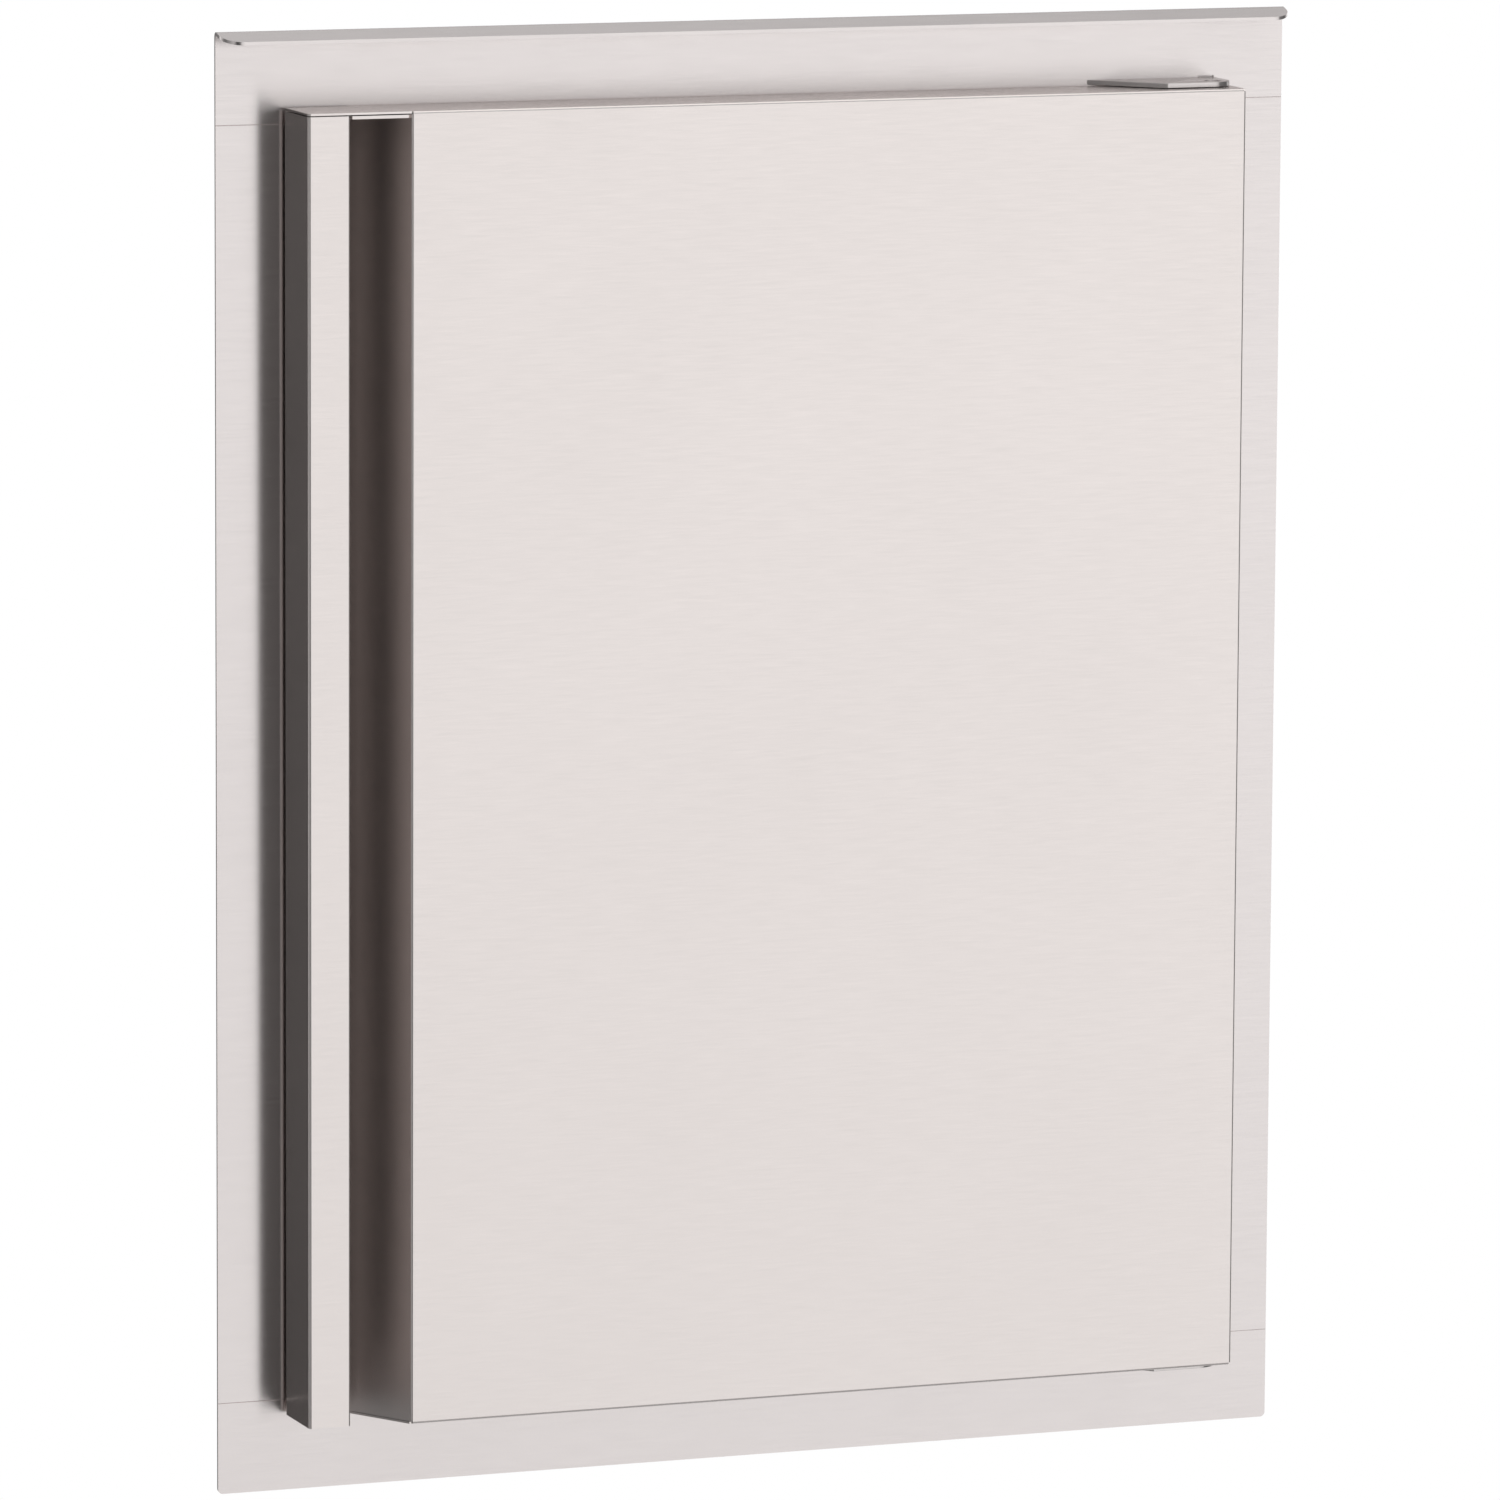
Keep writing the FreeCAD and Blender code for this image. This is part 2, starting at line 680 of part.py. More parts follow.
def catch_case():
    body = box(catch_x - case_width / 2, catch_x + case_width / 2, case_front,
               case_front + case_depth, case_low, open_z)
    body = rounded_upright(body, 1.5)
    ears = box(catch_x - case_width / 2 - ear_length, catch_x + case_width / 2 + ear_length,
               ear_setback, ear_setback + ear_depth, open_z - ear_sheet, open_z)
    ears = rounded_upright(ears, ear_depth * 0.35)
    m0, m1 = magnet_stack()
    half = magnet_width / 2 + magnet_clearance
    pocket = box(catch_x - half, catch_x + half, case_front - 1, pole_front + pole_length,
                 m0 - pole_sheet, m1 + pole_sheet + magnet_clearance)
    slots = []
    for x in (catch_x - ear_x, catch_x + ear_x):
        r = catch_screw / 2 + shank_clearance
        run = catch_slot / 2 - r
        slot = box(x - r, x + r, ear_y - run - r, ear_y + run + r, open_z - 2 * ear_sheet, open_z + 1)
        slots.append(rounded_upright(slot, r * 0.98))
    return body.fuse(ears).cut([pocket] + slots).removeSplitter()


def magnet_block():
    m0, m1 = magnet_stack()
    return box(catch_x - magnet_width / 2, catch_x + magnet_width / 2, case_front,
               pole_front + pole_length, m0, m1)


def pole_plates():
    m0, m1 = magnet_stack()
    plates = []
    for z0 in (m0 - pole_sheet, m1):
        plates.append(box(catch_x - magnet_width / 2, catch_x + magnet_width / 2, pole_front,
                          pole_front + pole_length, z0, z0 + pole_sheet))
    return plates


def strike():
    plate = box(catch_x - strike_width / 2, catch_x + strike_width / 2, liner_back, strike_back,
                magnet_z - strike_height / 2, magnet_z + strike_height / 2)
    corners = [e for e in plate.Edges if abs(e.tangentAt(e.FirstParameter).y) > 0.999]
    plate = plate.makeFillet(2.0, corners)
    return plate.cut(rivet_holes())


def rivet_places():
    reach = strike_width / 2 - strike_rivet_edge
    return [catch_x - reach, catch_x + reach]


def rivet_holes():
    # through the liner and both strikes
    y0 = liner_back - 2 * liner_sheet
    y1 = strike_back + strike_sheet
    return [Part.makeCylinder(strike_rivet, y1 - y0, Vector(x, y0, z), Vector(0, 1, 0))
            for x in rivet_places() for z in (-magnet_z, magnet_z)]


def strike_rivet_at(x):
    # blind rivet: domed head on the strike, shank and the bulb inside the liner
    inside = liner_back - liner_sheet
    head = strike_back + strike_head_height
    profile = [(0, inside - 2 * strike_rivet), (strike_rivet, inside - 2 * strike_rivet),
               (1.4 * strike_rivet, inside - strike_rivet), (1.4 * strike_rivet, inside),
               (strike_rivet, inside), (strike_rivet, strike_back), (strike_head, strike_back),
               (0.8 * strike_head, head - 0.3 * strike_head_height), (0.4 * strike_head, head),
               (0, head)]
    points = [Vector(x + r, y, magnet_z) for r, y in profile]
    return Part.Face(Part.makePolygon(points + points[:1])).revolve(Vector(x, 0, magnet_z),
                                                                   Vector(0, 1, 0), 360)


def catch_screw_at(x):
    seat = open_z - ear_sheet
    end = open_z + frame_sheet + nut_height + thread_end
    r = catch_screw / 2
    dome = 0.35 * head_height
    return turned([(0, seat - head_height), (0.6 * head_radius, seat - head_height),
                   (head_radius, seat - head_height + dome), (head_radius, seat), (r, seat),
                   (r, end - 0.4), (r - 0.4, end), (0, end)], x, ear_y)


def catch_nut_at(x):
    low = open_z + frame_sheet
    far = nut_width / math.sqrt(3)
    hexagon = polygon([(x + far * math.cos(math.radians(60 * i)),
                        ear_y + far * math.sin(math.radians(60 * i))) for i in range(6)])
    bore = rod(catch_screw / 2 + nut_clearance, x, ear_y, low - 1, low + nut_height + 1)
    return along_z(hexagon, low, low + nut_height).cut(bore)


def both_ends(pieces):
    return Part.makeCompound(pieces + [mirrored(piece) for piece in pieces])


def catches():
    save("top_catch_case", catch_case())
    save("bottom_catch_case", mirrored(catch_case()))
    save("top_catch_magnet", magnet_block())
    save("bottom_catch_magnet", mirrored(magnet_block()))
    save("top_catch_poles", Part.makeCompound(pole_plates()))
    save("bottom_catch_poles", mirrored(Part.makeCompound(pole_plates())))
    screw_places = [catch_x - ear_x, catch_x + ear_x]
    save("catch_screws", both_ends([catch_screw_at(x) for x in screw_places]))
    save("catch_nuts", both_ends([catch_nut_at(x) for x in screw_places]))
    save("top_strike_plate", strike())
    save("bottom_strike_plate", mirrored(strike()))
    save("strike_rivets", both_ends([strike_rivet_at(x) for x in rivet_places()]))


frame()
hinge_plates()
door()
spring_pin_parts()
catches()
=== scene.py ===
import json
import math

import bmesh
import bpy
import numpy as np
from mathutils import Matrix, Vector


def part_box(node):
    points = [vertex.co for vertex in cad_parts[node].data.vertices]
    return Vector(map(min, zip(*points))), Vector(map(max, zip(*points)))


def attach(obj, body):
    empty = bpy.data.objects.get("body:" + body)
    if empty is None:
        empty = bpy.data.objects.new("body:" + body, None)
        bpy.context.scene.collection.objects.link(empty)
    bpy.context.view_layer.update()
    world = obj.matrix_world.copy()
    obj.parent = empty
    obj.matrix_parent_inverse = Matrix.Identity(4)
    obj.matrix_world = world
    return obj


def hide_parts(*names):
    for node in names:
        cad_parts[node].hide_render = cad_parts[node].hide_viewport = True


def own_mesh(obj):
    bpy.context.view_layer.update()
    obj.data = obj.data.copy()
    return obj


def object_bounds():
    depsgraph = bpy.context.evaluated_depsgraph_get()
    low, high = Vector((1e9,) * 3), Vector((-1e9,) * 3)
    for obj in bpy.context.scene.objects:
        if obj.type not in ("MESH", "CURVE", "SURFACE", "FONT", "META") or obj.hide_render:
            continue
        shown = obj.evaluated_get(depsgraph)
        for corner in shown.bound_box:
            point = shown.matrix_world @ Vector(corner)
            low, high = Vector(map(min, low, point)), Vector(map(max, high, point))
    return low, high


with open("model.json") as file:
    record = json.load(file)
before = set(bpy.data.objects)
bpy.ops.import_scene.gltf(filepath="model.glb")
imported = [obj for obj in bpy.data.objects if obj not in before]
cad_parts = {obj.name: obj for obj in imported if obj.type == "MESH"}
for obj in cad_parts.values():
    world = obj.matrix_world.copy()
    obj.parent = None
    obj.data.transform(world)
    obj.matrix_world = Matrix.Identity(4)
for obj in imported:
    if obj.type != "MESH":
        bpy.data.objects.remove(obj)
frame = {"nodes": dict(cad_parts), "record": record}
cadLow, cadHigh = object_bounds()
print("frame loaded:", len(frame["nodes"]), "nodes")

mm = 0.001
white = (1, 1, 1, 1)
slotOf = {row["node"]: row["material_slot"] for row in frame["record"]["subparts"]}

# Camera: a long lens, a little to the left of the door and above it
camera = {
    "target": (-0.0020, -0.0012, -0.0023),
    "distance": 4.135,
    "yaw": 20.72,           # degrees to the left of the door's axis
    "pitch": 8.41,          # degrees above level
    "roll": 0.31,           # degrees by which its right side is raised
    "lens": 254.7,
    "sensor": 36.0,
    "clip": (0.1, 100),
}


def addCamera():
    yaw, pitch, roll = (math.radians(camera[k]) for k in ("yaw", "pitch", "roll"))
    ahead = Vector((math.sin(yaw) * math.cos(pitch), math.cos(yaw) * math.cos(pitch),
                    -math.sin(pitch)))
    level = Vector((math.cos(yaw), -math.sin(yaw), 0))
    upward = level.cross(ahead)
    right = level * math.cos(roll) + upward * math.sin(roll)
    above = upward * math.cos(roll) - level * math.sin(roll)
    lensData = bpy.data.cameras.new("camera")
    lensData.lens = camera["lens"]
    lensData.sensor_width = camera["sensor"]
    lensData.clip_start, lensData.clip_end = camera["clip"]
    view = bpy.data.objects.new("camera", lensData)
    bpy.context.scene.collection.objects.link(view)
    axes = Matrix((right, above, -ahead)).transposed().to_4x4()
    axes.translation = Vector(camera["target"]) - ahead * camera["distance"]
    view.matrix_world = axes
    bpy.context.scene.camera = view


addCamera()
print("camera placed")


# Node helpers
def newMaterial(name):
    material = bpy.data.materials.new(name)
    material.use_nodes = True
    tree = material.node_tree
    shader = next(n for n in tree.nodes if n.type == "BSDF_PRINCIPLED")
    return material, tree, shader


def addNode(tree, kind, inputs=None, **settings):
    # inputs maps a socket's name or number to a socket that feeds it or a plain value
    node = tree.nodes.new(kind)
    for key, value in settings.items():
        setattr(node, key, value)
    for key, value in (inputs or {}).items():
        if isinstance(value, bpy.types.NodeSocket):
            tree.links.new(value, node.inputs[key])
        else:
            node.inputs[key].default_value = value
    return node


def calc(tree, operation, a, b=0.0):
    return addNode(tree, "ShaderNodeMath", {0: a, 1: b}, operation=operation).outputs[0]


def remap(tree, value, low, high, toLow=0.0, toHigh=1.0, smooth=False):
    node = addNode(tree, "ShaderNodeMapRange",
                   {"Value": value, "From Min": low, "From Max": high, "To Min": toLow,
                    "To Max": toHigh})
    node.interpolation_type = "SMOOTHSTEP" if smooth else "LINEAR"
    return node.outputs[0]


def noise(tree, vector, scale, detail, roughness=0.5):
    return addNode(tree, "ShaderNodeTexNoise", {"Vector": vector, "Scale": scale,
                                                "Detail": detail,
                                                "Roughness": roughness}).outputs[0]


def blendValues(tree, factor, a, b):
    return addNode(tree, "ShaderNodeMix", {"Factor": factor, "A": a, "B": b},
                   data_type="FLOAT").outputs["Result"]


def blendColours(tree, factor, a, b):
    # sockets 6 and 7 of a Mix node are its colours A and B, output 2 its colour
    return addNode(tree, "ShaderNodeMix", {"Factor": factor, 6: a, 7: b},
                   data_type="RGBA").outputs[2]


def ramp(tree, value, stops):
    # stops are (position from 0 to 1, grey level)
    node = addNode(tree, "ShaderNodeValToRGB", {"Fac": value})
    node.color_ramp.interpolation = "EASE"
    elements = node.color_ramp.elements
    while len(elements) < len(stops):
        elements.new(0.5)
    for element, (position, level) in zip(elements, stops):
        element.position = position
        element.color = (level, level, level, 1)
    return node.outputs["Color"]


# Shader groups shared by the metals and the moulded parts
def newGroup(name, values):
    # makes Height, Rough and Shade out of a Vector; values maps the group's other inputs to
    # what they are unless a material sets them
    group = bpy.data.node_groups.new(name, "ShaderNodeTree")
    sockets = group.interface
    sockets.new_socket("Vector", in_out="INPUT", socket_type="NodeSocketVector")
    for label, value in values.items():
        socket = sockets.new_socket(label, in_out="INPUT", socket_type="NodeSocketFloat")
        socket.default_value = value
    for label in ("Height", "Rough", "Shade"):
        sockets.new_socket(label, in_out="OUTPUT", socket_type="NodeSocketFloat")
    entry = group.nodes.new("NodeGroupInput").outputs
    end = group.nodes.new("NodeGroupOutput").inputs
    return group, entry, end


grain = {
    "lines": 4500.0,                # per metre across them
    "length": 12 * mm,              # of a line
    "cloud": 90 * mm,               # width of a soft patch
    "coarse": (0.6, 0.17, 0.17),    # the coarse lines' scale, as shares of the fine ones'
    "coarseInHeight": 0.35,         # share of the coarse lines, and below of the patches
    "cloudInRough": 0.2,
    "cloudInShade": 0.6,
    "depth": 0.004 * mm,            # of the bump
    "spread": 0.12,                 # of the roughness to either side
    "tint": 0.04,                   # of the colour to either side
    "aniso": 0.5,
}


def makeGrainGroup():
    # Fine lines that run along X of the vector: noise stretched along them. Height feeds a
    # Bump, Rough moves the roughness and Shade the colour, all from 0 to 1.
    group, entry, end = newGroup("brushedGrain", {"Lines per metre": grain["lines"],
                                                  "Length": grain["length"],
                                                  "Cloud size": grain["cloud"]})
    perLength = calc(group, "DIVIDE", 1.0, entry["Length"])
    stretch = addNode(group, "ShaderNodeCombineXYZ",
                      {0: perLength, 1: entry["Lines per metre"], 2: entry["Lines per metre"]})
    lines = addNode(group, "ShaderNodeVectorMath", {0: entry["Vector"], 1: stretch.outputs[0]},
                    operation="MULTIPLY").outputs[0]
    coarseLines = addNode(group, "ShaderNodeVectorMath", {0: lines, 1: grain["coarse"]},
                          operation="MULTIPLY").outputs[0]
    fine = noise(group, lines, scale=1.0, detail=2.0, roughness=0.6)
    coarse = noise(group, coarseLines, scale=1.0, detail=1.0)
    perCloud = calc(group, "DIVIDE", 1.0, entry["Cloud size"])
    cloud = noise(group, entry["Vector"], scale=perCloud, detail=2.0, roughness=0.45)
    height = blendValues(group, grain["coarseInHeight"], fine, coarse)
    rough = blendValues(group, grain["cloudInRough"], height, cloud)
    shade = blendValues(group, grain["cloudInShade"], coarse, cloud)
    for label, value in (("Height", height), ("Rough", rough), ("Shade", shade)):
        group.links.new(value, end[label])
    return group


speck = {
    "size": 0.4 * mm,
    "cloud": 10 * mm,               # width of a soft patch
    "cellsInHeight": 0.4,           # share of the rounded cells, and below of the patches
    "cloudInRough": 0.5,
    "cloudInShade": 0.7,
    "depth": 0.02 * mm,             # this and the next two as in the grain
    "spread": 0.15,
    "tint": 0.12,
}


def makeSpeckGroup():
    # Even fine grain of a moulded, sintered or plated surface: noise and rounded cells
    group, entry, end = newGroup("surfaceSpeck", {"Speck size": speck["size"],
                                                  "Cloud size": speck["cloud"]})
    perSpeck = calc(group, "DIVIDE", 1.0, entry["Speck size"])
    perCloud = calc(group, "DIVIDE", 1.0, entry["Cloud size"])
    fine = noise(group, entry["Vector"], scale=perSpeck, detail=3.0, roughness=0.65)
    cells = addNode(group, "ShaderNodeTexVoronoi", {"Vector": entry["Vector"],
                                                    "Scale": perSpeck})
    cloud = noise(group, entry["Vector"], scale=perCloud, detail=2.0)
    height = blendValues(group, speck["cellsInHeight"], fine, cells.outputs["Distance"])
    rough = blendValues(group, speck["cloudInRough"], fine, cloud)
    shade = blendValues(group, speck["cloudInShade"], fine, cloud)
    for label, value in (("Height", height), ("Rough", rough), ("Shade", shade)):
        group.links.new(value, end[label])
    return group


grainGroup = makeGrainGroup()
speckGroup = makeSpeckGroup()
print("shader groups made")

# Metals with brushed or ground lines. Relief is the strength of the grain's bump; aniso says
# how much more a metal blurs across its lines than along them. What a row leaves out is as
# in the grain above.
metals = {
    "frame_steel": {"colour": (0.800, 0.750, 0.740), "rough": 0.24, "aniso": 0.85,
                    "relief": 0.30, "tint": 0.015},
    "door_steel": {"colour": (0.825, 0.768, 0.747), "rough": 0.24, "aniso": 0.85,
                   "relief": 0.30, "tint": 0.015},
    "hinge_steel": {"colour": (0.72, 0.68, 0.67), "rough": 0.24, "aniso": 0.85, "relief": 0.5,
                    "tint": 0.03},
    # inner_steel's colour is darker than door_steel's: painted shade for the hollow of the pull
    "inner_steel": {"colour": (0.66, 0.64, 0.63), "rough": 0.26, "relief": 0.35},
    "pin_steel": {"colour": (0.62, 0.61, 0.60), "rough": 0.20, "relief": 0.8,
                  "lines": 9000.0},
}
# Metals and plastics with an even speck
plated = {
    "spring_steel": {"colour": (0.40, 0.39, 0.38), "rough": 0.30, "relief": 0.25},
    "strike_steel": {"colour": (0.66, 0.67, 0.67), "rough": 0.30, "relief": 0.5},
    "screw_steel": {"colour": (0.74, 0.75, 0.76), "rough": 0.22, "relief": 0.4},
}
moulded = {
    "bush_plastic": {"colour": (0.80, 0.79, 0.74), "rough": 0.42, "relief": 0.3},
    "case_plastic": {"colour": (0.14, 0.14, 0.145), "rough": 0.48, "relief": 1.0},
    "magnet_ferrite": {"colour": (0.055, 0.054, 0.056), "rough": 0.55, "relief": 1.2},
    "black_rubber": {"colour": (0.030, 0.030, 0.031), "rough": 0.65, "relief": 0.8},
}
noiseRange = (0.3, 0.7)     # where most of a group's Rough lies
# How the grain can lie: the turn that lays it along X or Z, and the tangent across it, whose
# small parts keep it from standing square to any face
grainWays = {
    "level": {"turn": (0, 0, 0), "across": (0.001, 0.003, 1.0)},
    "upright": {"turn": (0, math.pi / 2, 0), "across": (1.0, 0.003, 0.001)},
}


def shaded(colour, factor):
    return (colour[0] * factor, colour[1] * factor, colour[2] * factor, 1)


def dressShader(tree, shader, pattern, values, look):
    # pattern is a group's node: its Shade moves the colour, its Rough the roughness and its
    # Height the normal, as far as values and look (the grain's or the speck's) say
    colour, rough = values["colour"], values["rough"]
    tint, spread = values.get("tint", look["tint"]), look["spread"]
    tree.links.new(blendColours(tree, pattern.outputs["Shade"], shaded(colour, 1 - tint),
                                shaded(colour, 1 + tint)), shader.inputs["Base Color"])
    tree.links.new(remap(tree, pattern.outputs["Rough"], *noiseRange, rough * (1 - spread),
                         rough * (1 + spread)), shader.inputs["Roughness"])
    bump = addNode(tree, "ShaderNodeBump", {"Strength": values["relief"],
                                            "Distance": look["depth"],
                                            "Height": pattern.outputs["Height"]})
    tree.links.new(bump.outputs[0], shader.inputs["Normal"])


def brushedMetal(name, values, way):
    material, tree, shader = newMaterial(name)
    coords = addNode(tree, "ShaderNodeTexCoord").outputs["Object"]
    turned = addNode(tree, "ShaderNodeMapping", {"Vector": coords, "Rotation": way["turn"]})
    pattern = addNode(tree, "ShaderNodeGroup", node_tree=grainGroup)
    tree.links.new(turned.outputs[0], pattern.inputs["Vector"])
    pattern.inputs["Lines per metre"].default_value = values.get("lines", grain["lines"])
    dressShader(tree, shader, pattern, values, grain)
    tangent = addNode(tree, "ShaderNodeCombineXYZ", dict(enumerate(way["across"])))
    tree.links.new(tangent.outputs[0], shader.inputs["Tangent"])
    shader.inputs["Anisotropic"].default_value = values.get("aniso", grain["aniso"])
    shader.inputs["Metallic"].default_value = 1
    return material


def speckled(name, values, metallic):
    material, tree, shader = newMaterial(name)
    coords = addNode(tree, "ShaderNodeTexCoord").outputs["Object"]
    pattern = addNode(tree, "ShaderNodeGroup", node_tree=speckGroup)
    tree.links.new(coords, pattern.inputs["Vector"])
    dressShader(tree, shader, pattern, values, speck)
    shader.inputs["Metallic"].default_value = metallic
    return material


# CAD nodes whose grain runs along Z; the others' runs along X
uprightNodes = ("door_liner",)


def dressNodes():
    made = {}
    for metallic, rows in ((1, plated), (0, moulded)):
        for name, values in rows.items():
            made[name] = speckled(name, values, metallic)
    for name, values in metals.items():
        made[name] = brushedMetal(name, values, grainWays["level"])
        made[name + "_upright"] = brushedMetal(name + "_upright", values,
                                               grainWays["upright"])
    for name, node in frame["nodes"].items():
        key = slotOf[name] + ("_upright" if name in uprightNodes else "")
        node.data.materials.clear()
        node.data.materials.append(made[key])
    return made


materials = dressNodes()
print("materials made:", len(materials))


# Small fixings, turned and threaded finer than the CAD solids that they stand for
def ringFaces(rows, columns, closed):
    # quads between neighbouring points of a grid that closes round its columns, and round
    # its rows too where closed
    row, column = np.meshgrid(np.arange(rows if closed else rows - 1), np.arange(columns),
                              indexing="ij")
    after, above = (column + 1) % columns, (row + 1) % rows
    return np.stack([row * columns + column, row * columns + after,
                     above * columns + after, above * columns + column], -1).reshape(-1, 4)


def closedTube(grid):
    # grid is rows of rings by columns round them, three coordinates each. The first and last
    # rings close in a fan to their own middles.
    rows, columns = grid.shape[:2]
    points = np.concatenate([grid.reshape(-1, 3), grid[:1].mean(1), grid[-1:].mean(1)])
    column = np.arange(columns)
    after = (column + 1) % columns
    start, end = np.full(columns, rows * columns), np.full(columns, rows * columns + 1)
    top = (rows - 1) * columns
    fans = np.concatenate([np.stack([start, after, column], -1),
                           np.stack([end, top + column, top + after], -1)])
    return points, ringFaces(rows, columns, False).tolist() + fans.tolist()


def turnedShape(radius, height):
    # radius and height are grids of rows by angles: each point is radius times cosine and
    # sine of its angle, at its height
    angle = np.linspace(0, 2 * np.pi, radius.shape[1], endpoint=False)
    return closedTube(np.stack([radius * np.cos(angle), radius * np.sin(angle), height], -1))


sharpFrom = 32      # degrees between two faces past which their edge stays sharp


def placePieces(name, shape, places, body, slotName, node):
    # one piece of all the copies of a shape, which is (points, faces); places are (turn as a
    # 3 by 3 array, shift)
    shapePoints, shapeFaces = shape
    points, faces = [], []
    for count, (turn, shift) in enumerate(places):
        points.append(shapePoints @ turn.T + shift)
        faces += [[index + count * len(shapePoints) for index in face] for face in shapeFaces]
    mesh = bpy.data.meshes.new(name)
    mesh.from_pydata(np.concatenate(points).tolist(), [], faces)
    mesh.polygons.foreach_set("use_smooth", np.ones(len(mesh.polygons), bool))
    mesh.set_sharp_from_angle(angle=math.radians(sharpFrom))
    piece = bpy.data.objects.new(name, mesh)
    bpy.context.scene.collection.objects.link(piece)
    mesh.materials.append(materials[slotName])
    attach(piece, body)
    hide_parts(node)
    return piece


upright = np.eye(3)
overturned = np.diag([1.0, -1.0, -1.0])        # half a turn about X
towardsBack = np.array([[1.0, 0, 0], [0, 0, 1.0], [0, -1.0, 0]])   # local Z to +Y

screw = {
    "shank": 2.0 * mm,
    "headHeight": 2.4 * mm,
    "length": 10.1 * mm,        # from the head's face to the thread's end
    "dome": 0.35,               # share of the head's height by which its face is domed
    "innermost": 0.04,          # share of the head's radius where the face's rings begin
    "sideFrom": 0.55,           # shares of the head's height
    "sideTo": 0.97,
    "seatBreak": 0.1 * mm,
    "pitch": 0.7 * mm,
    "threadDepth": 0.38 * mm,
    "runIn": 0.05 * mm,         # plain ends of the shank
    "runOut": 0.02 * mm,
    "point": 0.5 * mm,
    "pointSlope": 0.8,
    "crossWidth": 0.55 * mm,    # half width of the recess's arms
    "crossReach": 2.1 * mm,
    "crossDepth": 1.3 * mm,
    "crossRise": 0.5,           # share of its depth that is lost at the arms' ends
    "crossSide": 0.15 * mm,     # widths of the recess's slanted walls
    "crossEnd": 0.25 * mm,
    "faceRows": 30,
    "threadRows": 90,
    "columns": 96,
}


def screwShape(headRadius):
    # Pan head: its face rises with the cube of the distance from the axis, less a cross
    # whose arms grow shallower outwards. Thread: the shank's radius less a triangle wave
    # of height over pitch minus the turn.
    turn = np.arange(screw["columns"]) / screw["columns"]
    angle = 2 * np.pi * turn
    out = np.linspace(screw["innermost"], 1, screw["faceRows"])[:, None] * headRadius
    x, y = np.abs(out * np.cos(angle)), np.abs(out * np.sin(angle))
    narrow, long = np.minimum(x, y), np.maximum(x, y)
    arm = np.clip((screw["crossWidth"] - narrow) / screw["crossSide"], 0, 1)
    arm *= np.clip((screw["crossReach"] - long) / screw["crossEnd"], 0, 1)
    cross = arm * screw["crossDepth"] * (1 - screw["crossRise"] * long / screw["crossReach"])
    faceHeight = screw["dome"] * screw["headHeight"] * (out / headRadius) ** 3 + cross
    faceRadius = out + 0 * angle
    rows = [(headRadius, screw["sideFrom"]), (headRadius, screw["sideTo"]),
            (headRadius - screw["seatBreak"], 1.0), (screw["shank"], 1.0)]
    side = np.array([[radius, part * screw["headHeight"]] for radius, part in rows])
    start, end = screw["headHeight"], screw["length"]
    along = np.linspace(start + screw["runIn"], end - screw["runOut"],
                        screw["threadRows"])[:, None]
    wave = np.abs(2 * ((along / screw["pitch"] - turn) % 1) - 1)
    fade = np.clip((along - start) / screw["pitch"], 0, 1)
    shank = screw["shank"] - screw["threadDepth"] * wave * fade
    shank -= np.clip(along - (end - screw["point"]), 0, None) * screw["pointSlope"]
    radius = np.concatenate([faceRadius, side[:, :1] + 0 * angle, shank])
    height = np.concatenate([faceHeight, side[:, 1:] + 0 * angle, along + 0 * angle])
    return turnedShape(radius, height)


nut = {
    "height": 3.2 * mm,
    "bore": 2.03 * mm,
    "boreChamfer": 0.35 * mm,
    "chamferFrom": 0.97,        # of the half width across flats
    "slope": 0.577,             # of the cone that trims the corners
    "columns": 96,
}


def nutShape(halfWidth):
    # Hexagon: the half width over the cosine of the angle from the nearest flat's middle.
    # Where it reaches past a circle, a cone lowers its corners at both ends.
    columns, chamfer = nut["columns"], nut["boreChamfer"]
    angle = np.linspace(0, 2 * np.pi, columns, endpoint=False)
    hexagon = halfWidth / np.cos(angle % (np.pi / 3) - np.pi / 6)
    circle = np.full(columns, nut["chamferFrom"] * halfWidth)
    corner = np.clip(hexagon - circle, 0, None) * nut["slope"]
    low, top, bore = 0 * corner, nut["height"] + 0 * corner, np.full(columns, nut["bore"])
    rows = [(hexagon, corner), (hexagon, top - corner), (circle, top),
            (bore + chamfer, top), (bore, top - chamfer), (bore, low + chamfer),
            (bore + chamfer, low), (circle, low)]
    radius, height = (np.array([row[k] for row in rows]) for k in (0, 1))
    points = np.stack([radius * np.cos(angle), radius * np.sin(angle), height], -1)
    return points.reshape(-1, 3), ringFaces(len(rows), columns, True).tolist()


rivet = {
    "headRadius": 3.0 * mm,
    "headHeight": 0.9 * mm,
    "rim": 0.15 * mm,           # height of the head's straight edge
    "shank": 1.6 * mm,
    "bulb": 2.24 * mm,
    "bulbEnd": 0.8,             # share of the shank's radius at the far end
    "bulbFrom": 0.35,           # shares of the bulb's length where it is at its widest
    "bulbTo": 0.9,
    "bulbSeat": 0.97,           # share of the bulb's radius against the sheets
    "mandrel": 0.85 * mm,
    "mandrelDrop": 0.25 * mm,   # below the head's top
    "mandrelBreak": 0.05 * mm,  # height of its broken edge
    "breakRadii": (0.9, 0.3),   # shares of the mandrel's radius
    "hole": 1.0 * mm,
    "holeDepth": 0.8 * mm,
    "domeRows": 12,
    "columns": 48,
}


